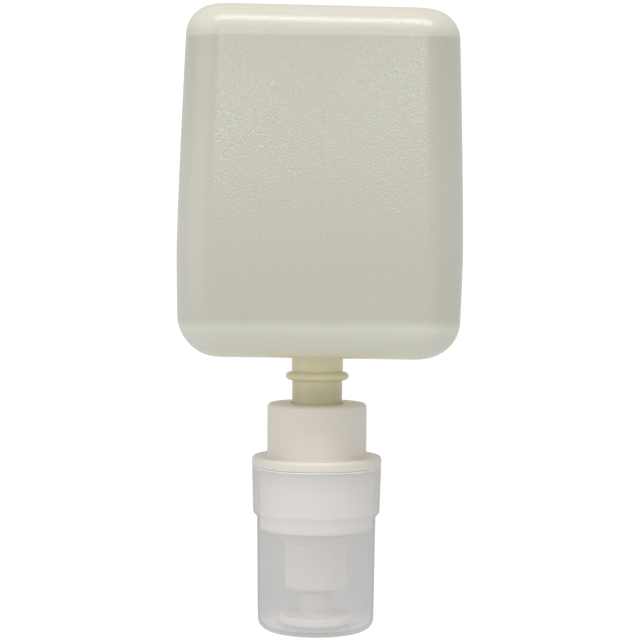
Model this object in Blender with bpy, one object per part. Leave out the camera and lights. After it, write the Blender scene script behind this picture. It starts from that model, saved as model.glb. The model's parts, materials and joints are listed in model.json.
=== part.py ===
"""Hand soap refill pack: a one-litre blow-moulded bottle that stands upside down on its foam pump.

The neck of the bottle points down into a white pump. The pump's nozzle is pushed up to deliver foam, a
spring returns it, and a see-through cap that pulls off downwards covers it in transit. The origin is the
middle of the cap's flat base, +Z is up, and the wide face of the bottle looks along -Y.

All lengths below are in millimetres. MM turns them into metres when a mesh is made.
"""

import math

import bmesh
import bpy

MM = 0.001
TOUCH = 0.3  # clearance between pieces that rest on each other

# Facets: sides of the wide round pieces and of the small ones, and steps in a rounded corner
WIDE_SIDES = 32
SMALL_SIDES = 20
CORNER_STEPS = 3

# Bottle
BOTTLE_BOTTOM = 107.9
BOTTLE_TOP = 239.8
HALF_WIDTH = 53.7
HALF_DEPTH = 42.5
BELLY_HEIGHT = 148.0  # where the bottle is widest
BELLY_FALL = 2.15  # what each half size loses over BELLY_SPAN above or below the belly
BELLY_SPAN = 74.0
BELLY_POWER = 1.3
TOP_ROUNDING = 11.0  # of the edges round the top
LOW_ROUNDING = 15.0  # of the edges round the bottom
UPRIGHT_ROUNDING = 14.0  # of the four upright edges
LEAST_ROUNDING = 2.0
WALL = 1.0
SECTION_CORNER_POINTS = 5
END_RINGS = 4
BELLY_RINGS = 3
FILL_HEIGHT = 227.5
SOAP_END = 75.6

# Neck of the bottle
NECK_RADIUS = 10.2
NECK_END_RADIUS = 9.8
NECK_END = 74.9
NECK_BORE = 8.5
NECK_ROOT = 1.5
BEAD_RADIUS = 12.35
BEAD_LOW = 97.6
BEAD_HIGH = 101.1
BEAD_CROWN = 0.9  # how far the bead's outer face stays inside its top and bottom

# Pump housing: collar round the neck, flange that the dispenser holds, and barrel inside the cap
COLLAR_RADIUS = 19.4
COLLAR_TOP = 88.7
COLLAR_ROUNDING = 1.5
COLLAR_BORE = 17.6
COLLAR_ROOF = 2.0
FLANGE_RADIUS = 25.3
FLANGE_TOP = 68.1
FLANGE_LOW = 64.3
BORE_STEP = 65.4  # where the barrel's bore meets the narrower one of the collar
FLANGE_ROUNDING = 0.8
BARREL_RADIUS = 22.1
BARREL_END_RADIUS = 21.9
BARREL_END = 39.6
BARREL_BORE = 20.3
SOCKET_BORE = 10.1
SOCKET_RADIUS = 12.6
SOCKET_FLOOR = 72.9
SOCKET_LOW = 71.0
SOCKET_HOLE = 6.6

# Seals at the neck and round the cylinder
NECK_SEAL_INNER = 6.9
NECK_SEAL_OUTER = 9.7
O_RING_RADIUS = 18.2
O_RING_SECTION = 0.4
O_RING_SIDES = 5

# Pump cylinder: a wide bore for air round a narrow tube for soap, with a well for the spring
AIR_BORE = 17.2
AIR_RADIUS = 18.6
AIR_ROOF = 64.0
ROOF_THICK = 1.4
RIM_LOW = 41.7
RIM_HIGH = 43.2
RIM_RADIUS = 20.0
WELL_BORE = 8.6
WELL_RADIUS = 10.0
WELL_ROOF = 70.7
SOAP_BORE = 4.7
SOAP_TUBE_RADIUS = 6.2
SOAP_TUBE_END = 56.0
SEAT_LOW = 72.1
SEAT_TOP = 73.5
SEAT_HOLES = 6
SEAT_HOLE_RADIUS = 0.7
SEAT_HOLE_CIRCLE = 2.9
VALVE_HOLE = 0.95

# Inlet valve: an umbrella under the seat, held by the bulb on its stem
UMBRELLA_RADIUS = 4.3
UMBRELLA_THICK = 0.8
UMBRELLA_EDGE = 0.64  # how far below its top the umbrella's edge slopes in
VALVE_STEM = 0.6
VALVE_BULB = 1.15
VALVE_BULB_TOP = 75.2

# Cover of the cylinder, with its ring and its sleeve
COVER_TOP = 41.4
COVER_LOW = 39.9
COVER_RADIUS = 20.0
RING_RADIUS = 13.9
RING_END = 34.8
RING_ROUNDING = 1.0
SLEEVE_RADIUS = 12.1
SLEEVE_BORE = 10.8
SLEEVE_END = 16.0
SLEEVE_LIP = 7.4
SLEEVE_LIP_TOP = 17.2
SLEEVE_ROUNDING = 1.6
BUSH_HEIGHT = 4.0

# Nozzle: stem and disc in one piece
DISC_RADIUS = 14.25
DISC_LOW = 2.6
DISC_HIGH = 5.8
DISC_ROUNDING = 0.7
STEM_RADIUS = 6.5
STEM_TOP = 43.0
STEM_ROOT = 1.4
OUTLET_BORE = 4.0
STEM_BORE = 5.2
MESH_SHELF = 20.0

# Foam meshes and the tube that holds them apart, inside the stem
MESH_RADIUS = 4.85
MESH_THICK = 0.4
HOLDER_HEIGHT = 12.0

# Piston rod, with its plug in the stem and a seat for its ball
ROD_RADIUS = 3.2
ROD_BORE = 1.9
ROD_TOP = 61.6
ROD_LIP = 1.2
ROD_LIP_LOW = 61.0
ROD_PLUG_RADIUS = 4.9
ROD_PLUG_TOP = 40.0
BALL_RADIUS = 1.5
BALL_SEAT_TOP = 57.5
BALL_SEAT_LOW = 56.5
BALL_SEAT_BORE = 1.0
BALL_ROWS = 8

# Pistons and the valves on them
AIR_PISTON_RADIUS = 16.9
AIR_PISTON_WAIST = 16.3
AIR_PISTON_LIP_INNER = 16.1
AIR_PISTON_WELL = 15.4
AIR_PISTON_TOP = 46.6
AIR_PISTON_LOW = 45.0
AIR_PISTON_WAIST_TOP = 47.5
LIP_LOW = 43.5
LIP_HIGH = 49.0
HUB_RADIUS = 8.0
HUB_END = 38.0
AIR_HOLES = 4
AIR_HOLE_RADIUS = 1.0
AIR_HOLE_CIRCLE = 11.5
AIR_RING_LOW = 43.4
AIR_RING_HIGH = 44.4
FLAP_INNER = 9.0
FLAP_OUTER = 14.0
FLAP_THICK = 0.6
SOAP_PISTON_RADIUS = 4.4
SOAP_PISTON_WAIST = 4.0
SOAP_PISTON_LOW = 56.8
SOAP_PISTON_HIGH = 61.0
SOAP_PISTON_LIP = 1.0

# Return spring round the soap tube
SPRING_RADIUS = 7.4
WIRE_RADIUS = 0.45
SPRING_TURNS = 7
CLOSED_TURNS = 1  # turns wound close at each end
CLOSED_PITCH = 1.2
SPRING_STEPS = 14  # steps in a turn
WIRE_SIDES = 5

# Protective cap
CAP_RIM = 64.1
SKIRT_RADIUS = 25.25
SKIRT_END_RADIUS = 24.75
SKIRT_END = 46.0
SKIRT_ROUNDING = 1.5
CUP_START = 44.6
CUP_RADIUS = 23.2
CUP_END_RADIUS = 22.65
CUP_ROUNDING = 1.0
CAP_WALL = 1.0
CAP_FLOOR = 1.8
CAP_BASE_ROUNDING = 4.5

# Drilled holes run this far past each face
DRILL_SIDES = 8
DRILL_PAST = 0.5

SHARP_ANGLE = math.radians(35.0)


def clear_scene():
    """Starts from an empty scene."""
    for thing in list(bpy.data.objects):
        bpy.data.objects.remove(thing, do_unlink=True)


def plastic(name, colour, roughness, transmission=0.0, metallic=0.0):
    """A Principled material."""
    material = bpy.data.materials.new(name)
    material.use_nodes = True
    shader = material.node_tree.nodes["Principled BSDF"]
    shader.inputs["Base Color"].default_value = (*colour, 1.0)
    shader.inputs["Roughness"].default_value = roughness
    shader.inputs["Transmission Weight"].default_value = transmission
    shader.inputs["Metallic"].default_value = metallic
    return material


def white_plastic(name):
    return plastic(name, (0.80, 0.78, 0.74), 0.35)


def natural_plastic(name):
    return plastic(name, (0.74, 0.73, 0.64), 0.40, transmission=0.3)


def clear_plastic(name):
    return plastic(name, (0.90, 0.90, 0.89), 0.25, transmission=0.7)


def liquid(name):
    return plastic(name, (0.72, 0.70, 0.58), 0.10, transmission=0.6)


def silicone(name):
    return plastic(name, (0.82, 0.82, 0.80), 0.50)


def steel(name):
    return plastic(name, (0.60, 0.60, 0.58), 0.25, metallic=1.0)


def put_object(name, mesh, material):
    """Adds a mesh to the scene as one smooth-shaded object."""
    mesh.shade_smooth()
    mesh.set_sharp_from_angle(angle=SHARP_ANGLE)
    mesh.materials.append(material)
    thing = bpy.data.objects.new(name, mesh)
    bpy.context.scene.collection.objects.link(thing)
    return thing


def skin_rings(name, rings, loop=False):
    """Skins rings of points, in millimetres, into one closed mesh.

    All rings have one length, except that the first and the last may be a single point. With loop, the last
    ring joins the first, and otherwise an end that is a ring is closed flat.
    """
    work = bmesh.new()
    rows = [[work.verts.new([MM * value for value in point]) for point in ring] for ring in rings]
    pairs = list(zip(rows, rows[1:]))
    if loop:
        pairs.append((rows[-1], rows[0]))
    for low, high in pairs:
        count = max(len(low), len(high))
        for here in range(count):
            after = (here + 1) % count
            corners = [low[here % len(low)], low[after % len(low)]]
            corners += [high[after % len(high)], high[here % len(high)]]
            work.faces.new(list(dict.fromkeys(corners)))
    if not loop:
        for end in (rows[0], rows[-1]):
            if len(end) > 1:
                work.faces.new(end)
    bmesh.ops.recalc_face_normals(work, faces=work.faces)
    mesh = bpy.data.meshes.new(name)
    work.to_mesh(mesh)
    work.free()
    return mesh


def rounded(corners, closed=True):
    """Rounds the corners of an outline, each given as (radius, height) or (radius, height, rounding)."""
    points = []
    for here, corner in enumerate(corners):
        at = corner[:2]
        end = not closed and here in (0, len(corners) - 1)
        if len(corner) == 2 or end:
            points.append(at)
            continue
        size = corner[2]
        before = corners[here - 1]
        after = corners[(here + 1) % len(corners)]
        back = math.atan2(before[1] - at[1], before[0] - at[0])
        ahead = math.atan2(after[1] - at[1], after[0] - at[0])
        half = 0.5 * math.remainder(ahead - back, math.tau)
        middle = back + half
        reach = size / abs(math.sin(half))
        centre_r = at[0] + reach * math.cos(middle)
        centre_z = at[1] + reach * math.sin(middle)
        swing = math.copysign(math.pi - 2.0 * abs(half), half)
        start = middle + math.pi + 0.5 * swing
        for step in range(CORNER_STEPS + 1):
            angle = start - swing * step / CORNER_STEPS
            points.append((centre_r + size * math.cos(angle), centre_z + size * math.sin(angle)))
    return points


def level_circle(radius, height, sides):
    """One level ring of points, or a single point where the radius is nothing."""
    if radius == 0.0:
        return [(0.0, 0.0, height)]
    turns = [math.tau * side / sides for side in range(sides)]
    return [(radius * math.cos(turn), radius * math.sin(turn), height) for turn in turns]


def turned_ring(name, outline, material, sides=SMALL_SIDES):
    """A turned piece with a hole through it, from a closed outline of (radius, height) points."""
    rings = [level_circle(radius, height, sides) for radius, height in outline]
    return put_object(name, skin_rings(name, rings, loop=True), material)


def turned_solid(name, outline, material, sides=SMALL_SIDES):
    """A turned piece without a hole, from an outline that starts and ends on the axis."""
    rings = [level_circle(radius, height, sides) for radius, height in outline]
    return put_object(name, skin_rings(name, rings), material)


def flat_ring(name, inner, outer, low, high, material, sides=SMALL_SIDES):
    """A plain washer or short tube."""
    outline = [(inner, low), (outer, low), (outer, high), (inner, high)]
    return turned_ring(name, outline, material, sides)


def drill(piece, name, radius, circle, count, low, high):
    """Bores upright holes through a piece, evenly spaced on a circle about the axis."""
    work = bmesh.new()
    depth = high - low + 2.0 * DRILL_PAST
    for index in range(count):
        turn = math.tau * index / count
        made = bmesh.ops.create_cone(
            work,
            cap_ends=True,
            segments=DRILL_SIDES,
            radius1=radius * MM,
            radius2=radius * MM,
            depth=depth * MM,
        )
        place = (circle * math.cos(turn) * MM, circle * math.sin(turn) * MM, 0.5 * (low + high) * MM)
        bmesh.ops.translate(work, verts=made["verts"], vec=place)
    mesh = bpy.data.meshes.new(name)
    work.to_mesh(mesh)
    work.free()
    cutter = bpy.data.objects.new(name, mesh)
    bpy.context.scene.collection.objects.link(cutter)
    cutter.hide_render = True
    cutter.display_type = "WIRE"
    cut = piece.modifiers.new(name, "BOOLEAN")
    cut.operation = "DIFFERENCE"
    cut.object = cutter


def half_size(widest, height):
    """Half the bottle's width or depth at a height."""
    return widest - BELLY_FALL * abs((height - BELLY_HEIGHT) / BELLY_SPAN) ** BELLY_POWER


def end_inset(depth, rounding):
    """How far the rounded end of the bottle draws in at a depth below its top or above its bottom."""
    left = min(max(rounding - depth, 0.0), rounding)
    return rounding - math.sqrt(rounding**2 - left**2)


def bottle_ring(height, skin):
    """A level rounded rectangle, skin millimetres inside the bottle's outer face.

    It starts at the middle of the +X side, and each quarter holds one such middle and then a corner.
    """
    inset = skin + end_inset(BOTTLE_TOP - skin - height, TOP_ROUNDING - skin)
    inset += end_inset(height - BOTTLE_BOTTOM - skin, LOW_ROUNDING - skin)
    across = half_size(HALF_WIDTH, height) - inset
    deep = half_size(HALF_DEPTH, height) - inset
    corner = max(UPRIGHT_ROUNDING - inset, LEAST_ROUNDING)
    middles = [(across, 0.0), (0.0, deep), (-across, 0.0), (0.0, -deep)]
    ring = []
    for quarter, middle in enumerate(middles):
        side_x = 1.0 if quarter in (0, 3) else -1.0
        side_y = 1.0 if quarter in (0, 1) else -1.0
        ring.append((*middle, height))
        for point in range(SECTION_CORNER_POINTS):
            turn = 0.5 * math.pi * (quarter + point / (SECTION_CORNER_POINTS - 1))
            x = side_x * (across - corner) + corner * math.cos(turn)
            y = side_y * (deep - corner) + corner * math.sin(turn)
            ring.append((x, y, height))
    return ring


def bottle_rings(skin):
    """Sections of the bottle's body from bottom to top, skin millimetres inside its outer face."""
    low = BOTTLE_BOTTOM + skin
    high = BOTTLE_TOP - skin
    shares = [1.0 - math.cos(0.5 * math.pi * ring / END_RINGS) for ring in range(END_RINGS + 1)]
    heights = [low + (LOW_ROUNDING - skin) * share for share in shares]
    start = heights[-1]
    straight = high - (TOP_ROUNDING - skin) - start
    heights += [start + straight * ring / BELLY_RINGS for ring in range(1, BELLY_RINGS)]
    heights += [high - (TOP_ROUNDING - skin) * share for share in reversed(shares)]
    return [bottle_ring(height, skin) for height in heights]


def neck_ring(radius, height):
    """A level circle with as many points as a section of the bottle."""
    return level_circle(radius, height, 4 * (SECTION_CORNER_POINTS + 1))


def make_bottle():
    """The blow-moulded bottle: one thin shell with a bead round its neck, open at the neck's end."""
    outside = [
        neck_ring(NECK_END_RADIUS, NECK_END),
        neck_ring(NECK_END_RADIUS, BEAD_LOW),
        neck_ring(BEAD_RADIUS, BEAD_LOW + BEAD_CROWN),
        neck_ring(BEAD_RADIUS, BEAD_HIGH - BEAD_CROWN),
        neck_ring(NECK_RADIUS, BEAD_HIGH),
        neck_ring(NECK_RADIUS, BOTTLE_BOTTOM - NECK_ROOT),
        neck_ring(NECK_RADIUS + NECK_ROOT, BOTTLE_BOTTOM),
        *bottle_rings(0.0),
        [(0.0, 0.0, BOTTLE_TOP)],
    ]
    inside = [
        neck_ring(NECK_BORE, NECK_END),
        neck_ring(NECK_BORE, BOTTLE_BOTTOM - NECK_ROOT),
        neck_ring(NECK_BORE + NECK_ROOT, BOTTLE_BOTTOM + WALL),
        *bottle_rings(WALL),
        [(0.0, 0.0, BOTTLE_TOP - WALL)],
    ]
    mesh = skin_rings("bottle", [*reversed(outside), *inside])
    put_object("bottle", mesh, natural_plastic("bottle_plastic"))


def make_soap():
    """The liquid, which fills the bottle and its neck up to a level surface below the top."""
    skin = WALL + TOUCH
    body = [ring for ring in bottle_rings(skin) if ring[0][2] < FILL_HEIGHT]
    rings = [
        neck_ring(NECK_BORE - TOUCH, SOAP_END),
        neck_ring(NECK_BORE - TOUCH, BOTTLE_BOTTOM - NECK_ROOT),
        neck_ring(NECK_BORE + NECK_ROOT - TOUCH, BOTTLE_BOTTOM + skin),
        *body,
        bottle_ring(FILL_HEIGHT, skin),
    ]
    put_object("soap_fill", skin_rings("soap_fill", rings), liquid("soap_liquid"))


def make_housing():
    """Collar, flange, barrel and the socket that takes the neck, moulded in one piece."""
    outline = rounded(
        [
            (SOCKET_BORE, COLLAR_TOP),
            (COLLAR_RADIUS, COLLAR_TOP, COLLAR_ROUNDING),
            (COLLAR_RADIUS, FLANGE_TOP),
            (FLANGE_RADIUS, FLANGE_TOP, FLANGE_ROUNDING),
            (FLANGE_RADIUS, FLANGE_LOW),
            (BARREL_RADIUS, FLANGE_LOW),
            (BARREL_END_RADIUS, BARREL_END),
            (BARREL_BORE, BARREL_END),
            (BARREL_BORE, BORE_STEP),
            (COLLAR_BORE, BORE_STEP),
            (COLLAR_BORE, COLLAR_TOP - COLLAR_ROOF),
            (SOCKET_RADIUS, COLLAR_TOP - COLLAR_ROOF),
            (SOCKET_RADIUS, SOCKET_LOW),
            (SOCKET_HOLE, SOCKET_LOW),
            (SOCKET_HOLE, SOCKET_FLOOR),
            (SOCKET_BORE, SOCKET_FLOOR),
        ]
    )
    turned_ring("pump_housing", outline, white_plastic("housing_plastic"), WIDE_SIDES)


def make_seals():
    """The washer that the neck presses on, and the O-ring between the cylinder and the housing."""
    low = SOCKET_FLOOR + TOUCH
    high = NECK_END - TOUCH
    flat_ring("neck_seal", NECK_SEAL_INNER, NECK_SEAL_OUTER, low, high, silicone("seal_silicone"))
    middle = 0.5 * (AIR_ROOF + BORE_STEP)
    outline = []
    for side in range(O_RING_SIDES):
        turn = math.tau * side / O_RING_SIDES
        radius = O_RING_RADIUS + O_RING_SECTION * math.cos(turn)
        outline.append((radius, middle + O_RING_SECTION * math.sin(turn)))
    turned_ring("cylinder_seal", outline, silicone("o_ring_silicone"), WIDE_SIDES)


def make_cylinder():
    """Air cylinder, spring well, soap tube and the drilled seat of the inlet valve, in one piece."""
    outline = [
        (VALVE_HOLE, SEAT_LOW),
        (VALVE_HOLE, SEAT_TOP),
        (SOAP_TUBE_RADIUS, SEAT_TOP),
        (SOAP_TUBE_RADIUS, WELL_ROOF),
        (WELL_RADIUS, WELL_ROOF),
        (WELL_RADIUS, AIR_ROOF),
        (AIR_RADIUS, AIR_ROOF),
        (AIR_RADIUS, RIM_HIGH),
        (RIM_RADIUS, RIM_HIGH),
        (RIM_RADIUS, RIM_LOW),
        (AIR_BORE, RIM_LOW),
        (AIR_BORE, AIR_ROOF - ROOF_THICK),
        (WELL_BORE, AIR_ROOF - ROOF_THICK),
        (WELL_BORE, WELL_ROOF - ROOF_THICK),
        (SOAP_TUBE_RADIUS, WELL_ROOF - ROOF_THICK),
        (SOAP_TUBE_RADIUS, SOAP_TUBE_END),
        (SOAP_BORE, SOAP_TUBE_END),
        (SOAP_BORE, SEAT_LOW),
    ]
    cylinder = turned_ring("pump_cylinder", outline, white_plastic("cylinder_plastic"), WIDE_SIDES)
    drill(cylinder, "inlet_drill", SEAT_HOLE_RADIUS, SEAT_HOLE_CIRCLE, SEAT_HOLES, SEAT_LOW, SEAT_TOP)


def make_inlet_valve():
    """The silicone umbrella that lets soap into the tube and not back."""
    top = SEAT_LOW - TOUCH
    outline = [
        (0.0, top - UMBRELLA_THICK),
        (UMBRELLA_RADIUS - 0.5 * UMBRELLA_THICK, top - UMBRELLA_EDGE),
        (UMBRELLA_RADIUS, top),
        (VALVE_STEM, top),
        (VALVE_STEM, SEAT_TOP + TOUCH),
        (VALVE_BULB, SEAT_TOP + TOUCH),
        (VALVE_STEM, VALVE_BULB_TOP),
        (0.0, VALVE_BULB_TOP),
    ]
    turned_solid("inlet_valve", outline, silicone("inlet_silicone"))


def make_cover():
    """The plate that closes the cylinder, with its ring and the sleeve that guides the nozzle."""
    outline = rounded(
        [
            (COVER_RADIUS, COVER_TOP),
            (COVER_RADIUS, COVER_LOW),
            (RING_RADIUS, COVER_LOW),
            (RING_RADIUS, RING_END, RING_ROUNDING),
            (SLEEVE_RADIUS, RING_END),
            (SLEEVE_RADIUS, SLEEVE_END, SLEEVE_ROUNDING),
            (SLEEVE_LIP, SLEEVE_END),
            (SLEEVE_LIP, SLEEVE_LIP_TOP),
            (SLEEVE_BORE, SLEEVE_LIP_TOP),
            (SLEEVE_BORE, COVER_TOP),
        ]
    )
    turned_ring("cylinder_cover", outline, white_plastic("cover_plastic"), WIDE_SIDES)


def make_guide_bush():
    """The bush in the sleeve that the nozzle's stem slides in."""
    low = SLEEVE_LIP_TOP + TOUCH
    inner = STEM_RADIUS + TOUCH
    outer = SLEEVE_BORE - TOUCH
    flat_ring("guide_bush", inner, outer, low, low + BUSH_HEIGHT, white_plastic("bush_plastic"), WIDE_SIDES)


def make_nozzle():
    """The stem and the disc that the dispenser pushes up, with the foam's way out through both."""
    outline = rounded(
        [
            (OUTLET_BORE, DISC_LOW),
            (DISC_RADIUS, DISC_LOW, DISC_ROUNDING),
            (DISC_RADIUS, DISC_HIGH, DISC_ROUNDING),
            (STEM_RADIUS, DISC_HIGH, STEM_ROOT),
            (STEM_RADIUS, STEM_TOP),
            (STEM_BORE, STEM_TOP),
            (STEM_BORE, MESH_SHELF),
            (OUTLET_BORE, MESH_SHELF),
        ]
    )
    turned_ring("nozzle", outline, white_plastic("nozzle_plastic"), WIDE_SIDES)


def make_mesh_disc(name, low):
    """One fine nylon mesh, as a thin disc."""
    high = low + MESH_THICK
    outline = [(0.0, low), (MESH_RADIUS, low), (MESH_RADIUS, high), (0.0, high)]
    turned_solid(name, outline, white_plastic(name + "_nylon"))


def make_foamer():
    """Two meshes held apart by a short tube on the shelf inside the stem. Returns the height above them."""
    lower = MESH_SHELF + TOUCH
    holder = lower + MESH_THICK + TOUCH
    upper = holder + HOLDER_HEIGHT + TOUCH
    make_mesh_disc("mesh_lower", lower)
    plastic = white_plastic("holder_plastic")
    flat_ring("mesh_holder", OUTLET_BORE, MESH_RADIUS, holder, holder + HOLDER_HEIGHT, plastic)
    make_mesh_disc("mesh_upper", upper)
    return upper + MESH_THICK + TOUCH


def make_piston_rod(low):
    """The hollow rod that carries both pistons. Its plug stands in the stem, and its top holds a ball."""
    outline = [
        (ROD_BORE, low),
        (ROD_PLUG_RADIUS, low),
        (ROD_PLUG_RADIUS, ROD_PLUG_TOP),
        (ROD_RADIUS, ROD_PLUG_TOP),
        (ROD_RADIUS, ROD_TOP),
        (ROD_LIP, ROD_TOP),
        (ROD_LIP, ROD_LIP_LOW),
        (ROD_BORE, ROD_LIP_LOW),
        (ROD_BORE, BALL_SEAT_TOP),
        (BALL_SEAT_BORE, BALL_SEAT_TOP),
        (BALL_SEAT_BORE, BALL_SEAT_LOW),
        (ROD_BORE, BALL_SEAT_LOW),
    ]
    turned_ring("piston_rod", outline, white_plastic("rod_plastic"))


def make_outlet_ball():
    """The ball of the outlet valve, resting on the edge of its seat."""
    rise = math.sqrt(BALL_RADIUS**2 - BALL_SEAT_BORE**2)
    middle = BALL_SEAT_TOP + rise + TOUCH
    outline = [(0.0, middle - BALL_RADIUS)]
    for row in range(1, BALL_ROWS):
        turn = math.pi * row / BALL_ROWS
        outline.append((BALL_RADIUS * math.sin(turn), middle - BALL_RADIUS * math.cos(turn)))
    outline.append((0.0, middle + BALL_RADIUS))
    turned_solid("outlet_ball", outline, steel("ball_steel"), sides=2 * BALL_ROWS)


def make_pistons():
    """The soap piston on the rod's top, and the air piston, whose hub sits round the stem's top."""
    outline = [
        (ROD_RADIUS + TOUCH, SOAP_PISTON_LOW),
        (SOAP_PISTON_RADIUS, SOAP_PISTON_LOW),
        (SOAP_PISTON_WAIST, SOAP_PISTON_LOW + SOAP_PISTON_LIP),
        (SOAP_PISTON_WAIST, SOAP_PISTON_HIGH - SOAP_PISTON_LIP),
        (SOAP_PISTON_RADIUS, SOAP_PISTON_HIGH),
        (ROD_RADIUS + TOUCH, SOAP_PISTON_HIGH),
    ]
    turned_ring("soap_piston", outline, natural_plastic("soap_piston_plastic"))
    outline = [
        (ROD_RADIUS + TOUCH, AIR_PISTON_LOW),
        (ROD_RADIUS + TOUCH, AIR_PISTON_TOP),
        (AIR_PISTON_WELL, AIR_PISTON_TOP),
        (AIR_PISTON_LIP_INNER, LIP_HIGH),
        (AIR_PISTON_RADIUS, LIP_HIGH),
        (AIR_PISTON_WAIST, AIR_PISTON_WAIST_TOP),
        (AIR_PISTON_WAIST, AIR_PISTON_LOW),
        (AIR_PISTON_RADIUS, LIP_LOW),
        (AIR_PISTON_LIP_INNER, LIP_LOW),
        (AIR_PISTON_WELL, AIR_PISTON_LOW),
        (HUB_RADIUS, AIR_PISTON_LOW),
        (HUB_RADIUS, HUB_END),
        (STEM_RADIUS + TOUCH, HUB_END),
        (STEM_RADIUS + TOUCH, AIR_PISTON_LOW),
    ]
    piston = turned_ring("air_piston", outline, natural_plastic("air_piston_plastic"), WIDE_SIDES)
    drill(piston, "air_drill", AIR_HOLE_RADIUS, AIR_HOLE_CIRCLE, AIR_HOLES, AIR_PISTON_LOW, AIR_PISTON_TOP)


def make_air_valves():
    """The ring that lets air down into the stem, and the flap over the air piston's holes."""
    inner = ROD_RADIUS + TOUCH
    rubber = silicone("ring_silicone")
    flat_ring("air_outlet_ring", inner, STEM_RADIUS, AIR_RING_LOW, AIR_RING_HIGH, rubber)
    low = AIR_PISTON_TOP + TOUCH
    flat_ring("air_inlet_flap", FLAP_INNER, FLAP_OUTER, low, low + FLAP_THICK, silicone("flap_silicone"))


def make_spring():
    """The return spring, a wire coil with one close turn at each end."""
    low = AIR_PISTON_TOP + TOUCH + WIRE_RADIUS
    high = WELL_ROOF - ROOF_THICK - TOUCH - WIRE_RADIUS
    open_turns = SPRING_TURNS - 2 * CLOSED_TURNS
    open_pitch = (high - low - 2 * CLOSED_TURNS * CLOSED_PITCH) / open_turns
    rings = []
    for step in range(SPRING_TURNS * SPRING_STEPS + 1):
        turns = step / SPRING_STEPS
        closed = min(turns, CLOSED_TURNS) + max(turns - CLOSED_TURNS - open_turns, 0.0)
        height = low + CLOSED_PITCH * closed + open_pitch * (turns - closed)
        around = math.tau * turns
        ring = []
        for side in range(WIRE_SIDES):
            turn = math.tau * side / WIRE_SIDES
            radius = SPRING_RADIUS + WIRE_RADIUS * math.cos(turn)
            level = height + WIRE_RADIUS * math.sin(turn)
            ring.append((radius * math.cos(around), radius * math.sin(around), level))
        rings.append(ring)
    put_object("return_spring", skin_rings("return_spring", rings), steel("spring_steel"))


def make_cap():
    """The protective cap: a flat-based cup under a wider skirt that fits over the barrel."""
    outer = [
        (0.0, 0.0),
        (CUP_END_RADIUS, 0.0, CAP_BASE_ROUNDING),
        (CUP_RADIUS, CUP_START, CUP_ROUNDING),
        (SKIRT_END_RADIUS, SKIRT_END, SKIRT_ROUNDING),
        (SKIRT_RADIUS, CAP_RIM),
    ]
    inner = [
        (SKIRT_RADIUS - CAP_WALL, CAP_RIM),
        (SKIRT_END_RADIUS - CAP_WALL, SKIRT_END + 0.5 * CAP_WALL, SKIRT_ROUNDING - CAP_WALL),
        (CUP_RADIUS - CAP_WALL, CUP_START + 0.5 * CAP_WALL, CUP_ROUNDING),
        (CUP_END_RADIUS - CAP_WALL, CAP_FLOOR, CAP_BASE_ROUNDING - CAP_WALL),
        (0.0, CAP_FLOOR),
    ]
    outline = rounded(outer + inner, closed=False)
    turned_solid("protective_cap", outline, clear_plastic("cap_plastic"), WIDE_SIDES)


def main():
    clear_scene()
    make_bottle()
    make_soap()
    make_housing()
    make_seals()
    make_cylinder()
    make_inlet_valve()
    make_cover()
    make_guide_bush()
    make_nozzle()
    plug_low = make_foamer()
    make_piston_rod(plug_low)
    make_outlet_ball()
    make_pistons()
    make_air_valves()
    make_spring()
    make_cap()


main()
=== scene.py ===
"""The looks of the hand soap refill pack: a translucent bottle on a white foam pump under a clear cap."""

import json
import math

import bmesh
import bpy
from mathutils import Matrix, Vector, noise


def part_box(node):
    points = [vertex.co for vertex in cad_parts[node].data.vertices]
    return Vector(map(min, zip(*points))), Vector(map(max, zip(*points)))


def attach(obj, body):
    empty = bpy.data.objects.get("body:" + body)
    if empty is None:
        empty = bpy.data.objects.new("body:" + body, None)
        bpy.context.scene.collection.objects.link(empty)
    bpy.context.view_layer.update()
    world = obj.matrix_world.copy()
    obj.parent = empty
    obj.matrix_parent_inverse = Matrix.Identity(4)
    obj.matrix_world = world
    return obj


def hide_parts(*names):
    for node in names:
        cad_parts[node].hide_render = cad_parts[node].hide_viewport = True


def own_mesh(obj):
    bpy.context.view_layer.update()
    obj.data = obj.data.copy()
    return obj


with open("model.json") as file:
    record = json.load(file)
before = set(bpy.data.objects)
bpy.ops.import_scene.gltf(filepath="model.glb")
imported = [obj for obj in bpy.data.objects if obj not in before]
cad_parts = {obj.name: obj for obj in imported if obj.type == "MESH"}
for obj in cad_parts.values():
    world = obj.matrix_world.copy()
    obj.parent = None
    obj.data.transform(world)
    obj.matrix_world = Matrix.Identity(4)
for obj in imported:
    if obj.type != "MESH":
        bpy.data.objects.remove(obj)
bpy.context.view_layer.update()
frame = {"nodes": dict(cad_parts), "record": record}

# Places taken from the frame, in metres
BOTTLE_LOW, BOTTLE_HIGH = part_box("bottle")
HOUSING_LOW, HOUSING_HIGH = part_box("pump_housing")
COVER_LOW, COVER_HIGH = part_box("cylinder_cover")
NOZZLE_LOW, NOZZLE_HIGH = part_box("nozzle")
_, CAP_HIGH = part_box("protective_cap")
SOAP_LOW, SOAP_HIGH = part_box("soap_fill")
FLANGE_TOP = next(m["pos_m"][2] for m in frame["record"]["mounts"] if m["name"] == "flange_top")
FLANGE_LOW = 0.0643

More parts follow.
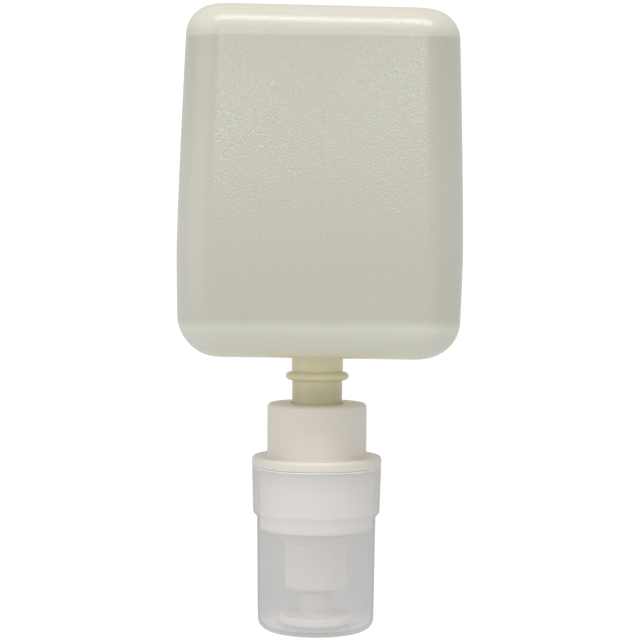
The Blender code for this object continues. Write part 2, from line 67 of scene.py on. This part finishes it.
# Bottle, in metres
SHOULDER = 0.1079  # where the neck meets the body
HALF_WIDTH = 0.0537
HALF_DEPTH = 0.0425
BELLY_HEIGHT = 0.148
BELLY_FALL = 0.00215
BELLY_SPAN = 0.074
BELLY_POWER = 1.3
TOP_ROUNDING = 0.0112
LOW_ROUNDING = 0.015
UPRIGHT_ROUNDING = 0.0145
LEAST_ROUNDING = 0.002
WALL = 0.001
SOAP_GAP = 0.00012
PILLOW = 0.0011  # how far the wide faces swell at their middle
LEAN = math.radians(0.5)
EDGE_SLOPE = math.radians(0.95)
LEAN_START = 0.101
SIDE_SHIFT = 0.0003
NECK_RADIUS = 0.01005
NECK_END_RADIUS = 0.0098
NECK_BORE = 0.0085
BEAD_RADIUS = 0.01235
BEAD_MIDDLE = 0.09935
SEAM_WIDTH = 0.00022
SEAM_HEIGHT = 0.00006

ROUND_SIDES = 160
CORNER_STEPS = 8


def clamp(value, low=0.0, high=1.0):
    return min(max(value, low), high)


def smooth(value, start, end):
    """0 before start, 1 after end, and a smooth rise between them."""
    t = clamp((value - start) / (end - start))
    return t * t * (3.0 - 2.0 * t)


# --- meshes -------------------------------------------------------------------------------------------


def finish_mesh(name, work, sharp=40.0):
    """Turns a bmesh into a smooth-shaded object."""
    bmesh.ops.recalc_face_normals(work, faces=work.faces)
    mesh = bpy.data.meshes.new(name)
    work.to_mesh(mesh)
    work.free()
    mesh.shade_smooth()
    mesh.set_sharp_from_angle(angle=math.radians(sharp))
    piece = bpy.data.objects.new(name, mesh)
    bpy.context.scene.collection.objects.link(piece)
    return piece


def skin(work, rows, loop=False):
    """Skins rows of vertices, where the first and the last may be one vertex."""
    pairs = list(zip(rows, rows[1:]))
    if loop:
        pairs.append((rows[-1], rows[0]))
    for low, high in pairs:
        count = max(len(low), len(high))
        for here in range(count):
            after = (here + 1) % count
            corners = [low[here % len(low)], low[after % len(low)]]
            corners += [high[after % len(high)], high[here % len(high)]]
            work.faces.new(list(dict.fromkeys(corners)))


def rounded(corners, closed=True, steps=CORNER_STEPS):
    """Rounds the corners of an outline, each given as (radius, height) or (radius, height, rounding)."""
    points = []
    for here, corner in enumerate(corners):
        at = corner[:2]
        end = not closed and here in (0, len(corners) - 1)
        if len(corner) == 2 or end:
            points.append(at)
            continue
        size = corner[2]
        before = corners[here - 1]
        after = corners[(here + 1) % len(corners)]
        back = math.atan2(before[1] - at[1], before[0] - at[0])
        ahead = math.atan2(after[1] - at[1], after[0] - at[0])
        half = 0.5 * math.remainder(ahead - back, math.tau)
        middle = back + half
        reach = size / abs(math.sin(half))
        centre_r = at[0] + reach * math.cos(middle)
        centre_z = at[1] + reach * math.sin(middle)
        swing = math.copysign(math.pi - 2.0 * abs(half), half)
        start = middle + math.pi + 0.5 * swing
        for step in range(steps + 1):
            angle = start - swing * step / steps
            points.append((centre_r + size * math.cos(angle), centre_z + size * math.sin(angle)))
    return points


def turned(name, outline, closed=True, warp=None, sides=ROUND_SIDES):
    """A turned piece from (radius, height) points in metres. warp(angle, radius, height) may shift one."""
    work = bmesh.new()
    rows = []
    for radius, height in outline:
        if radius == 0.0:
            rows.append([work.verts.new((0.0, 0.0, height))])
            continue
        row = []
        for side in range(sides):
            angle = math.tau * side / sides
            r, z = warp(angle, radius, height) if warp else (radius, height)
            row.append(work.verts.new((r * math.cos(angle), r * math.sin(angle), z)))
        rows.append(row)
    skin(work, rows, loop=closed)
    return finish_mesh(name, work)


# --- the bottle ---------------------------------------------------------------------------------------

SIDE_STEPS = 12  # in half of a narrow face
FACE_STEPS = 16  # in half of a wide face
ARC_STEPS = 12
SEAM_COLUMNS = (3.0, 1.5, 0.75)  # half widths of the seam where a column of points stands


def half_size(widest, height):
    return widest - BELLY_FALL * abs((height - BELLY_HEIGHT) / BELLY_SPAN) ** BELLY_POWER


def end_inset(depth, rounding):
    left = clamp(rounding - depth, 0.0, rounding)
    return rounding - math.sqrt(rounding**2 - left**2)


def quarter_points(across, deep, corner):
    """From the middle of the +X side to just before the middle of the +Y side, as (x, y)."""
    points = []
    straight = deep - corner
    for step in range(SIDE_STEPS):
        points.append((across, straight * step / SIDE_STEPS))
    for step in range(ARC_STEPS):
        turn = 0.5 * math.pi * step / ARC_STEPS
        points.append((across - corner + corner * math.cos(turn), straight + corner * math.sin(turn)))
    span = across - corner
    seam = [SEAM_WIDTH * columns for columns in SEAM_COLUMNS]
    for step in range(FACE_STEPS):
        points.append((seam[0] + (span - seam[0]) * (1.0 - step / FACE_STEPS), deep))
    points += [(x, deep) for x in seam]
    return points


def section(height, skin_depth, inset=0.0):
    """A level section of the bottle's body, starting at the middle of the +X side."""
    inset += skin_depth + end_inset(BOTTLE_HIGH[2] - skin_depth - height, TOP_ROUNDING - skin_depth)
    inset += end_inset(height - SHOULDER - skin_depth, LOW_ROUNDING - skin_depth)
    across = half_size(HALF_WIDTH, height) - inset
    deep = half_size(HALF_DEPTH, height) - inset
    corner = max(UPRIGHT_ROUNDING - 0.75 * inset, LEAST_ROUNDING)
    quarter = quarter_points(across, deep, corner)
    other = [(-x, y) for x, y in reversed(quarter[1:])]
    half = quarter + [(0.0, deep)] + other
    return half + [(-across, 0.0)] + [(x, -y) for x, y in reversed(half[1:])]


def swell(x, y, height):
    """How far a wide face stands out at a point: a pillow."""
    along = clamp(1.0 - (x / HALF_WIDTH) ** 2)
    middle = 0.5 * (SHOULDER + BOTTLE_HIGH[2])
    up = clamp(1.0 - ((height - middle) / (BOTTLE_HIGH[2] - middle)) ** 2)
    return PILLOW * along * up


def lean(x, y, z):
    """Tips the body over its neck, as the soft bottle stands, and slopes its ends."""
    share = smooth(z, LEAN_START, SHOULDER + 0.008)
    rise = max(z - SHOULDER, 0.0)
    return x + share * (SIDE_SHIFT + rise * math.tan(LEAN)), y, z - share * x * math.tan(EDGE_SLOPE)


def body_heights(skin_depth, end_rings, belly_rings, extra=()):
    high = BOTTLE_HIGH[2] - skin_depth
    shares = [1.0 - math.cos(0.5 * math.pi * ring / end_rings) for ring in range(end_rings + 1)]
    heights = [SHOULDER + skin_depth + (LOW_ROUNDING - skin_depth) * share for share in shares]
    start = heights[-1]
    straight = high - (TOP_ROUNDING - skin_depth) - start
    heights += [start + straight * ring / belly_rings for ring in range(1, belly_rings)]
    heights += [high - (TOP_ROUNDING - skin_depth) * share for share in reversed(shares)]
    return sorted([*heights, *extra])


def body_rows(work, skin_depth, end_rings=12, belly_rings=30, extra=(), ceiling=None):
    """Rows of vertices up the body, with the rows across its flat bottom and top."""
    rows = []
    heights = body_heights(skin_depth, end_rings, belly_rings, extra)
    for height in heights:
        row = []
        for x, y in section(height, skin_depth):
            out = swell(x, y, height)
            y_out = y + math.copysign(out, y) * smooth(abs(y), 0.5 * HALF_DEPTH, 0.9 * HALF_DEPTH)
            if skin_depth == 0.0 and abs(x) < SEAM_WIDTH * 1.2 and abs(y) > 0.2 * HALF_DEPTH:
                y_out += math.copysign(SEAM_HEIGHT, y)
            point = lean(x, y_out, height)
            if ceiling is not None:
                point = (point[0], point[1], min(point[2], ceiling))
            row.append(work.verts.new(point))
        rows.append(row)
    return rows


FLAT_ROWS = 8


def bottom_rows(work, first, radius, height):
    """Rows that lead from a circle round the neck's root out to the body's first row."""
    rows = []
    for ring in range(FLAT_ROWS):
        t = (ring / FLAT_ROWS) ** 1.2
        row = []
        for vertex in first:
            x, y, z = vertex.co
            angle = math.atan2(y, x)
            cx, cy = radius * math.cos(angle), radius * math.sin(angle)
            row.append(work.verts.new((cx + (x - cx) * t, cy + (y - cy) * t, height + (z - height) * t)))
        rows.append(row)
    return rows


def circle_row(work, angles, radius, height):
    row = []
    for angle in angles:
        x, y, z = radius * math.cos(angle), radius * math.sin(angle), height
        row.append(work.verts.new((x, y, z)))
    return row


def neck_outline():
    """Outer (radius, height) points of the neck, from its end up to its root."""
    half_bead = 0.00165
    bead = []
    for step in range(13):
        turn = math.pi * (step / 12 - 0.5)
        bead.append(
            (NECK_END_RADIUS + (BEAD_RADIUS - NECK_END_RADIUS) * math.cos(turn) ** 0.8,
             BEAD_MIDDLE + half_bead * math.sin(turn))
        )
    root = 0.0016
    end = [(NECK_END_RADIUS, BOTTLE_LOW[2]), (NECK_END_RADIUS, 0.0860), (NECK_END_RADIUS, 0.0920)]
    top = [(NECK_RADIUS, BEAD_MIDDLE + 1.6 * half_bead), (NECK_RADIUS, 0.1040)]
    fillet = []
    for step in range(7):
        turn = 0.5 * math.pi * step / 6
        fillet.append(
            (NECK_RADIUS + root * (1.0 - math.cos(turn)), SHOULDER - root + root * math.sin(turn))
        )
    return end + bead + top + fillet


def make_bottle():
    """The shell: outer skin, inner skin, and the lip of the neck between them."""
    work = bmesh.new()
    outer = body_rows(work, 0.0)
    angles = [math.atan2(v.co.y, v.co.x) for v in outer[0]]
    neck = neck_outline()
    flats = bottom_rows(work, outer[0], neck[-1][0], neck[-1][1])
    neck_rows = [circle_row(work, angles, r, z) for r, z in neck[:-1]]
    top = top_rows(work, outer[-1], -0.0016)
    inner = body_rows(work, WALL)
    inner_flats = bottom_rows(work, inner[0], NECK_BORE + 0.0016, SHOULDER + WALL)
    bore = [circle_row(work, angles, NECK_BORE, z) for z in (BOTTLE_LOW[2], 0.095, SHOULDER - 0.002)]
    inner_top = top_rows(work, inner[-1], -0.0016)
    rows = list(reversed(neck_rows + flats + outer + top)) + bore + inner_flats + inner + inner_top
    skin(work, rows)
    return finish_mesh("bottle_shell", work)


def top_rows(work, last, dip):
    """Rows that close the top: a shallow dish that ends in one middle vertex."""
    rows = []
    middle = sum((v.co for v in last), Vector()) / len(last)
    for ring in range(1, FLAT_ROWS):
        t = 1.0 - ring / FLAT_ROWS
        drop = dip * smooth(1.0 - t, 0.0, 0.6)
        rows.append([work.verts.new(middle + (v.co - middle) * t + Vector((0.0, 0.0, drop))) for v in last])
    rows.append([work.verts.new(middle + Vector((0.0, 0.0, dip)))])
    return rows


def make_soap():
    """The liquid inside, cut off level at its surface."""
    work = bmesh.new()
    depth = WALL + SOAP_GAP
    level = SOAP_HIGH[2]
    extra = [level + 0.00035 * step for step in range(-4, 5)]
    body = body_rows(work, depth, extra=extra, ceiling=level)
    angles = [math.atan2(v.co.y, v.co.x) for v in body[0]]
    flats = bottom_rows(work, body[0], NECK_BORE + 0.0014, SHOULDER + depth)
    heights = (SOAP_LOW[2], 0.095, SHOULDER - 0.002)
    neck = [circle_row(work, angles, NECK_BORE - SOAP_GAP, z) for z in heights]
    top = top_rows(work, body[-1], 0.0)
    end = [work.verts.new((0.0, 0.0, SOAP_LOW[2]))]
    skin(work, [end] + neck + flats + body + top)
    return finish_mesh("soap_body", work)


# --- the pump and the cap -----------------------------------------------------------------------------


def make_housing():
    """Collar, flange and barrel, with a fine edge round the neck's socket."""
    top = HOUSING_HIGH[2]
    outline = rounded(
        [
            (0.01010, top - 0.0006),
            (0.01060, top, 0.0003),
            (0.01940, top, 0.0015),
            (0.01940, FLANGE_TOP, 0.0005),
            (0.02530, FLANGE_TOP, 0.0013),
            (0.02530, FLANGE_LOW, 0.0003),
            (0.02210, FLANGE_LOW, 0.0004),
            (0.02190, HOUSING_LOW[2], 0.0005),
            (0.02030, HOUSING_LOW[2], 0.0003),
            (0.02030, 0.06540),
            (0.01760, 0.06540),
            (0.01760, top - 0.0020),
            (0.01260, top - 0.0020),
            (0.01260, 0.07100),
            (0.00660, 0.07100),
            (0.00660, 0.07290),
            (0.01010, 0.07290),
        ]
    )
    return turned("housing", outline)


def make_cover():
    """Cover plate with its ring and sleeve."""
    end = COVER_LOW[2]
    outline = rounded(
        [
            (0.02000, COVER_HIGH[2]),
            (0.02000, 0.03990, 0.0003),
            (0.01390, 0.03990, 0.0006),
            (0.01390, 0.03480, 0.0013),
            (0.01210, 0.03480, 0.0004),
            (0.01210, end, 0.0018),
            (0.00740, end, 0.0004),
            (0.00740, 0.01720),
            (0.01080, 0.01720),
            (0.01080, COVER_HIGH[2]),
        ]
    )
    return turned("cover", outline)


def make_nozzle():
    """Stem and disc, with the slightly raised rim of the disc."""
    low = NOZZLE_LOW[2]
    outline = rounded(
        [
            (0.00400, low, 0.0004),
            (0.01425, low, 0.0009),
            (0.01425, 0.00580, 0.0006),
            (0.01270, 0.00580, 0.0004),
            (0.01210, 0.00545, 0.0006),
            (0.00650, 0.00560, 0.0012),
            (0.00650, NOZZLE_HIGH[2], 0.0004),
            (0.00520, NOZZLE_HIGH[2]),
            (0.00520, 0.02000),
            (0.00400, 0.02000),
        ]
    )
    return turned("nozzle_disc", outline)


CAP_WALL = 0.0010
CAP_FLOOR = 0.0018
SKIRT_RADIUS = 0.02525
SKIRT_END_RADIUS = 0.02475
CUP_RADIUS = 0.0232
CUP_END_RADIUS = 0.02265
SKIRT_END = 0.0460
CUP_START = 0.0444


def cap_warp(angle, radius, height):
    """The cap's rim isn't quite level."""
    share = smooth(height, 0.0625, CAP_HIGH[2])
    wave = noise.noise(Vector((3.0 * math.cos(angle), 3.0 * math.sin(angle), 1.7)))
    fine = noise.noise(Vector((17.0 * math.cos(angle), 17.0 * math.sin(angle), 4.1)))
    return radius, height + share * (0.00010 * wave + 0.00008 * fine + 0.00006)


def make_cap():
    """The clear cap: cup, step and skirt."""
    rim = CAP_HIGH[2]
    outer = [
        (0.0, 0.0),
        (CUP_END_RADIUS, 0.0, 0.0043),
        (CUP_RADIUS, CUP_START, 0.0012),
        (SKIRT_END_RADIUS, SKIRT_END, 0.0016),
        (SKIRT_RADIUS, rim, 0.0003),
    ]
    inner = [
        (SKIRT_RADIUS - CAP_WALL, rim, 0.0002),
        (SKIRT_END_RADIUS - CAP_WALL, SKIRT_END + 0.0005, 0.0010),
        (CUP_RADIUS - CAP_WALL, CUP_START + 0.0004, 0.0008),
        (CUP_END_RADIUS - CAP_WALL, CAP_FLOOR, 0.0033),
        (0.0, CAP_FLOOR),
    ]
    return turned("cap_cup", rounded(outer + inner, closed=False), closed=False, warp=cap_warp)


# --- materials ----------------------------------------------------------------------------------------


class Finish:
    """One material and short ways to add nodes to it."""

    def __init__(self, name):
        self.material = bpy.data.materials.new(name)
        self.material.use_nodes = True
        self.tree = self.material.node_tree
        self.shader = self.tree.nodes["Principled BSDF"]
        self.place = self.tree.nodes.new("ShaderNodeTexCoord").outputs["Object"]

    def set(self, **values):
        for name, value in values.items():
            socket = self.shader.inputs[name.replace("_", " ")]
            socket.default_value = value
        return self

    def node(self, kind, **inputs):
        node = self.tree.nodes.new(kind)
        for name, value in inputs.items():
            self.feed(node.inputs[name.replace("_", " ")], value)
        return node

    def feed(self, socket, value):
        if isinstance(value, bpy.types.NodeSocket):
            self.tree.links.new(value, socket)
        else:
            socket.default_value = value

    def stretched(self, x, y, z):
        node = self.tree.nodes.new("ShaderNodeMapping")
        self.feed(node.inputs["Vector"], self.place)
        node.inputs["Scale"].default_value = (x, y, z)
        return node.outputs["Vector"]

    def noise(self, scale, detail=2.0, roughness=0.5, place=None):
        node = self.node("ShaderNodeTexNoise", Vector=place or self.place, Scale=scale, Detail=detail)
        node.inputs["Roughness"].default_value = roughness
        return node.outputs["Fac"]

    def height(self):
        node = self.node("ShaderNodeSeparateXYZ", Vector=self.place)
        return node.outputs["Z"]

    def across(self):
        """Distance from the middle plane, x = 0."""
        node = self.node("ShaderNodeSeparateXYZ", Vector=self.place)
        return self.maths("ABSOLUTE", node.outputs["X"], 0.0)

    def radius(self):
        """Distance from the pump's axis."""
        flat = self.stretched(1.0, 1.0, 0.0)
        node = self.node("ShaderNodeVectorMath")
        node.operation = "LENGTH"
        self.feed(node.inputs[0], flat)
        return node.outputs["Value"]

    def ramp(self, value, low, high, start=0.0, end=1.0):
        node = self.node("ShaderNodeMapRange", Value=value)
        for name, number in zip(("From Min", "From Max", "To Min", "To Max"), (low, high, start, end)):
            node.inputs[name].default_value = number
        return node.outputs["Result"]

    def maths(self, operation, first, second):
        node = self.tree.nodes.new("ShaderNodeMath")
        node.operation = operation
        self.feed(node.inputs[0], first)
        self.feed(node.inputs[1], second)
        return node.outputs["Value"]

    def mix(self, share, first, second):
        node = self.tree.nodes.new("ShaderNodeMix")
        node.data_type = "RGBA"
        self.feed(node.inputs["Factor"], share)
        self.feed(node.inputs["A"], first if isinstance(first, bpy.types.NodeSocket) else (*first, 1.0))
        self.feed(node.inputs["B"], second if isinstance(second, bpy.types.NodeSocket) else (*second, 1.0))
        return node.outputs["Result"]

    def bump(self, height, distance, strength=1.0, normal=None):
        node = self.node("ShaderNodeBump", Height=height)
        node.inputs["Distance"].default_value = distance
        node.inputs["Strength"].default_value = strength
        if normal is not None:
            self.feed(node.inputs["Normal"], normal)
        return node.outputs["Normal"]


def bottle_plastic():
    """Natural polyethylene: grained, cream above the soap, grey-green over it, olive at the neck; painted
    light makes it paler at the narrow sides, in the low band and on the upper neck.
    """
    f = Finish("bottle_plastic")
    height = f.height()
    waver = f.maths("MULTIPLY", f.noise(60.0), 0.0004)
    level = SOAP_HIGH[2]
    above = f.ramp(f.maths("ADD", height, waver), level, level + 0.0006)
    cloud = f.noise(25.0, 3.0)
    wet = f.mix(cloud, (0.505, 0.495, 0.425), (0.535, 0.525, 0.452))
    # Painted light: the soap zone is made paler near the narrow sides and in a band just above the
    # shoulder, standing in for light that reaches there.
    low = f.ramp(height, SHOULDER + 0.0155, SHOULDER + 0.0115)
    painted_side_and_low_light = f.maths("MAXIMUM", f.ramp(f.across(), 0.046, 0.058, 0.0, 0.5), low)
    wet = f.mix(f.ramp(height, 0.180, 0.226, 0.0, 0.55), wet, (0.44, 0.432, 0.366))
    wet = f.mix(painted_side_and_low_light, wet, (0.70, 0.69, 0.60))
    dry = f.mix(cloud, (0.65, 0.63, 0.535), (0.71, 0.685, 0.58))
    near_level = f.ramp(height, level + 0.0045, level)
    droplets = f.maths("MULTIPLY", f.ramp(f.noise(900.0, 1.0), 0.52, 0.60), near_level)
    dry = f.mix(f.maths("MULTIPLY", droplets, 0.30), dry, (0.50, 0.49, 0.43))
    dry = f.mix(f.ramp(height, level + 0.004, level, 0.0, 0.45), dry, (0.54, 0.525, 0.45))
    body = f.mix(above, wet, dry)
    neck = f.ramp(height, SHOULDER - 0.0008, SHOULDER + 0.004, 1.0, 0.0)
    neck_low = f.mix(f.noise(180.0, 2.0), (0.54, 0.505, 0.335), (0.60, 0.56, 0.375))
    # Painted light: the upper neck, just under the body, is given a paler colour to offset the shade that
    # the body casts on it.
    neck_with_painted_light = f.mix(f.ramp(height, 0.093, 0.1035), neck_low, (0.80, 0.76, 0.53))
    f.feed(f.shader.inputs["Base Color"], f.mix(neck, body, neck_with_painted_light))
    solid = f.maths("MAXIMUM", f.ramp(above, 0.0, 1.0, 1.0, 0.92), neck)
    f.feed(f.shader.inputs["Alpha"], solid)
    grain = f.noise(1500.0, 2.0, 0.6, f.stretched(1.0, 1.0, 0.75))
    pores = f.noise(3200.0, 1.0)
    fine = f.bump(pores, 0.00002, 0.5)
    f.feed(f.shader.inputs["Normal"], f.bump(grain, 0.00012, 0.8, fine))
    f.feed(f.shader.inputs["Roughness"], f.ramp(f.noise(400.0), 0.3, 0.7, 0.15, 0.21))
    f.set(IOR=1.53)
    return f.material


def soap_liquid():
    f = Finish("soap_liquid")
    swirl = f.noise(30.0, 3.0, 0.6)
    f.feed(f.shader.inputs["Base Color"], f.mix(swirl, (0.66, 0.65, 0.56), (0.70, 0.69, 0.60)))
    f.feed(f.shader.inputs["Normal"], f.bump(f.noise(120.0), 0.0001, 0.2))
    f.set(IOR=1.36, Roughness=0.12)
    return f.material


def white_plastic(name="white_plastic", tone=(0.745, 0.70, 0.635), painted_light_below_flange=(0.80, 0.765, 0.72)):
    """Moulded polypropylene: slightly warm, satin, with faint flow marks; painted paler below the flange to
    offset the shade inside the cap, and darker again below 39 mm.
    """
    f = Finish(name)
    flow = f.noise(90.0, 3.0, 0.55, f.stretched(1.0, 1.0, 0.35))
    level = f.height()
    # Painted light: below the flange, inside the cap, the white is made paler to offset the shade of the
    # cap's wall; below 39 mm it is 0.89 times as bright.
    inside = f.mix(f.ramp(level, COVER_HIGH[2], 0.0390), painted_light_below_flange, tuple(0.89 * value for value in painted_light_below_flange))
    shown = f.mix(f.ramp(level, FLANGE_LOW, FLANGE_LOW - 0.0004), tone, inside)
    marked = f.node("ShaderNodeHueSaturation", Color=shown, Value=f.ramp(flow, 0.0, 1.0, 0.965, 1.0))
    f.feed(f.shader.inputs["Base Color"], marked.outputs["Color"])
    f.feed(f.shader.inputs["Roughness"], f.ramp(f.noise(700.0), 0.3, 0.7, 0.36, 0.48))
    skin_bump = f.bump(f.noise(2400.0, 2.0), 0.000012, 0.6)
    f.feed(f.shader.inputs["Normal"], f.bump(flow, 0.00010, 0.35, skin_bump))
    f.set(IOR=1.49)
    return f.material


def clear_plastic():
    """Translucent polypropylene, with a painted shadow under the nozzle's disc and a painted highlight
    along the rim.
    """
    f = Finish("clear_plastic")
    haze = f.noise(70.0, 3.0, 0.6, f.stretched(1.0, 1.0, 0.3))
    # Painted shadow: the cap's floor is darkened under the nozzle's disc.
    painted_disc_shadow = f.maths("MULTIPLY", f.ramp(f.radius(), 0.0170, 0.0130), f.ramp(f.height(), 0.0030, 0.0021))
    tone = f.mix(haze, (0.85, 0.845, 0.835), (0.91, 0.905, 0.895))
    f.feed(f.shader.inputs["Base Color"], f.mix(painted_disc_shadow, tone, (0.50, 0.48, 0.46)))
    # Painted highlight: a ragged band at the top of the skirt is made nearly opaque, so that it shows as a
    # bright broken line where the edge catches light.
    rim_glint_height = f.maths("ADD", f.height(), f.maths("MULTIPLY", f.noise(260.0), 0.0012))
    rim = f.ramp(rim_glint_height, CAP_HIGH[2], CAP_HIGH[2] + 0.0003)
    veil = f.ramp(haze, 0.2, 0.8, 0.15, 0.19)
    skirt = f.ramp(f.height(), SKIRT_END - 0.001, SKIRT_END + 0.001, 0.0, 0.075)
    foot = f.ramp(f.height(), 0.009, 0.001, 0.0, 0.16)
    veil = f.maths("ADD", veil, f.maths("ADD", skirt, foot))
    f.feed(f.shader.inputs["Alpha"], f.maths("MAXIMUM", veil, f.maths("MULTIPLY", rim, 0.8)))
    f.feed(f.shader.inputs["Roughness"], f.ramp(f.noise(500.0), 0.3, 0.7, 0.18, 0.28))
    f.feed(f.shader.inputs["Normal"], f.bump(f.noise(160.0, 2.0), 0.0002, 0.3))
    f.set(IOR=1.49)
    return f.material


def silicone():
    f = Finish("silicone")
    f.feed(f.shader.inputs["Base Color"], f.mix(f.noise(300.0), (0.78, 0.78, 0.76), (0.84, 0.84, 0.82)))
    f.set(Roughness=0.5, Subsurface_Weight=0.5, Subsurface_Scale=0.002)
    return f.material


def steel():
    f = Finish("steel")
    f.feed(f.shader.inputs["Base Color"], f.mix(f.noise(900.0), (0.55, 0.55, 0.53), (0.66, 0.66, 0.64)))
    f.set(Metallic=1.0, Roughness=0.28)
    return f.material


def nylon_mesh():
    """A fine plain weave."""
    f = Finish("nylon_mesh")
    warp = f.node("ShaderNodeTexWave", Vector=f.place, Scale=900.0).outputs["Fac"]
    turned_place = f.tree.nodes.new("ShaderNodeMapping")
    f.feed(turned_place.inputs["Vector"], f.place)
    turned_place.inputs["Rotation"].default_value = (0.0, 0.0, 0.5 * math.pi)
    weft = f.node("ShaderNodeTexWave", Vector=turned_place.outputs["Vector"], Scale=900.0).outputs["Fac"]
    weave = f.maths("MAXIMUM", warp, weft)
    f.feed(f.shader.inputs["Base Color"], f.mix(weave, (0.45, 0.45, 0.44), (0.88, 0.88, 0.86)))
    f.feed(f.shader.inputs["Normal"], f.bump(weave, 0.0001))
    f.set(Roughness=0.5)
    return f.material


# --- the stage ----------------------------------------------------------------------------------------

PAPER_SEEN = 1.05  # strengths of the glow
PAPER_THROUGH = 0.40
PAPER_GLOW = 0.72


def paper_backdrop():
    """Glowing paper: white where it is seen directly, dimmer through clear plastic and as a light."""
    f = Finish("paper")
    rays = f.tree.nodes.new("ShaderNodeLightPath")
    camera = rays.outputs["Is Camera Ray"]
    through = f.maths("GREATER_THAN", rays.outputs["Transparent Depth"], 0.5)
    seen = f.maths("MULTIPLY", camera, f.ramp(through, 0.0, 1.0, PAPER_SEEN, PAPER_THROUGH))
    lit = f.maths("MULTIPLY", f.maths("SUBTRACT", 1.0, camera), PAPER_GLOW)
    glow = f.node("ShaderNodeEmission", Strength=f.maths("ADD", seen, lit))
    f.tree.links.new(glow.outputs["Emission"], f.tree.nodes["Material Output"].inputs["Surface"])
    return f.material


FLOOR_HEIGHT = -0.08  # below the cap where it is pulled off
FLOOR_FRONT = -2.5
FLOOR_BACK = 1.4
SWEEP_RADIUS = 0.8
SWEEP_TOP = 2.4
SWEEP_HALF = 3.0


def make_stage():
    """A pale seamless sweep: floor, curve and wall."""
    profile = [(FLOOR_FRONT, FLOOR_HEIGHT), (FLOOR_BACK, FLOOR_HEIGHT)]
    for step in range(1, 25):
        turn = 0.5 * math.pi * step / 24
        profile.append(
            (
                FLOOR_BACK + SWEEP_RADIUS * math.sin(turn),
                FLOOR_HEIGHT + SWEEP_RADIUS * (1.0 - math.cos(turn)),
            )
        )
    profile.append((FLOOR_BACK + SWEEP_RADIUS, SWEEP_TOP))
    work = bmesh.new()
    rows = [[work.verts.new((side * SWEEP_HALF, y, z)) for side in (-1.0, 1.0)] for y, z in profile]
    for low, high in zip(rows, rows[1:]):
        work.faces.new((low[0], low[1], high[1], high[0]))
    sweep = finish_mesh("sweep", work)
    sweep.data.materials.append(paper_backdrop())
    return sweep


def add_light(name, place, aim, width, height, watts, colour=(1.0, 1.0, 1.0)):
    lamp = bpy.data.lights.new(name, "AREA")
    lamp.shape = "RECTANGLE"
    lamp.size = width
    lamp.size_y = height
    lamp.energy = watts
    lamp.color = colour
    thing = bpy.data.objects.new(name, lamp)
    thing.location = place
    direction = Vector(aim) - Vector(place)
    thing.rotation_euler = direction.to_track_quat("-Z", "Y").to_euler()
    bpy.context.scene.collection.objects.link(thing)
    return thing


def light_scene():
    middle = (0.0, 0.0, 0.14)
    add_light("key_left", (-0.235, -1.32, 0.46), middle, 0.07, 0.10, 0.75)
    add_light("fill_right", (0.215, -1.32, 0.49), middle, 0.09, 0.18, 0.9)
    add_light("side_left", (-1.3, -0.75, 0.35), middle, 1.3, 1.4, 4.2)
    add_light("top", (0.0, -0.95, 2.15), (0.0, 0.0, 0.2), 2.2, 0.5, 24.0)
    world = bpy.data.worlds.new("studio")
    bpy.context.scene.world = world
    world.use_nodes = True
    background = world.node_tree.nodes["Background"]
    background.inputs["Color"].default_value = (1.0, 1.0, 1.0, 1.0)
    background.inputs["Strength"].default_value = 0.68


CAMERA_DISTANCE = 0.741
CAMERA_HEIGHT = 0.1558
CAMERA_SIDE = 0.0009
PITCH = math.radians(2.68)
ROLL = math.radians(0.42)
FOCAL_LENGTH = 106.9
SENSOR = 36.0


def place_camera():
    lens = bpy.data.cameras.new("camera")
    lens.lens = FOCAL_LENGTH
    lens.sensor_width = SENSOR
    lens.clip_start = 0.01
    camera = bpy.data.objects.new("camera", lens)
    turn = Matrix.Rotation(0.5 * math.pi - PITCH, 4, "X") @ Matrix.Rotation(ROLL, 4, "Z")
    camera.matrix_world = Matrix.Translation((CAMERA_SIDE, -CAMERA_DISTANCE, CAMERA_HEIGHT)) @ turn
    bpy.context.scene.collection.objects.link(camera)
    bpy.context.scene.camera = camera


# --- putting it together ------------------------------------------------------------------------------


def dress(piece, material, body, slot, *nodes):
    """Gives a new piece its material and its body, and hides the CAD nodes that it replaces."""
    piece.data.materials.append(material)
    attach(piece, body)
    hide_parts(*nodes)


def make_spring():
    """The return spring as the CAD has it, as an object of its own."""
    node = frame["nodes"]["return_spring"]
    coil = node.data.copy()
    coil.transform(node.matrix_world)
    coil.materials.clear()
    spring = bpy.data.objects.new("spring_coil", coil)
    bpy.context.scene.collection.objects.link(spring)
    return spring


def compress(spring):
    """Gives the spring a mesh of its own."""
    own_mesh(spring)


def dress_hidden(finishes):
    """Gives the CAD nodes that stay their finished materials, by the record's slots."""
    for entry in frame["record"]["subparts"]:
        thing = frame["nodes"].get(entry["node"])
        finish = finishes.get(entry["material_slot"])
        if thing is not None and finish is not None:
            for place in thing.material_slots:
                place.material = finish


def main():
    place_camera()
    make_stage()
    light_scene()
    white = white_plastic()
    clear = clear_plastic()
    bottle = bottle_plastic()
    soap = soap_liquid()
    dress_hidden(
        {
            "white_plastic": white,
            "natural_plastic": white_plastic("natural_plastic", (0.80, 0.80, 0.75), (0.80, 0.80, 0.75)),
            "silicone": silicone(),
            "nylon_mesh": nylon_mesh(),
            "steel": steel(),
        }
    )
    dress(make_bottle(), bottle, "pack", "bottle_plastic", "bottle")
    dress(make_soap(), soap, "pack", "soap", "soap_fill")
    dress(make_housing(), white, "pack", "white_plastic", "pump_housing")
    dress(make_cover(), white, "pack", "white_plastic", "cylinder_cover")
    dress(make_nozzle(), white, "actuator", "white_plastic", "nozzle")
    dress(make_cap(), clear, "cap", "clear_plastic", "protective_cap")
    spring = make_spring()
    dress(spring, steel(), "pack", "steel", "return_spring")
    compress(spring)
    bpy.context.scene.view_settings.view_transform = "Standard"


main()
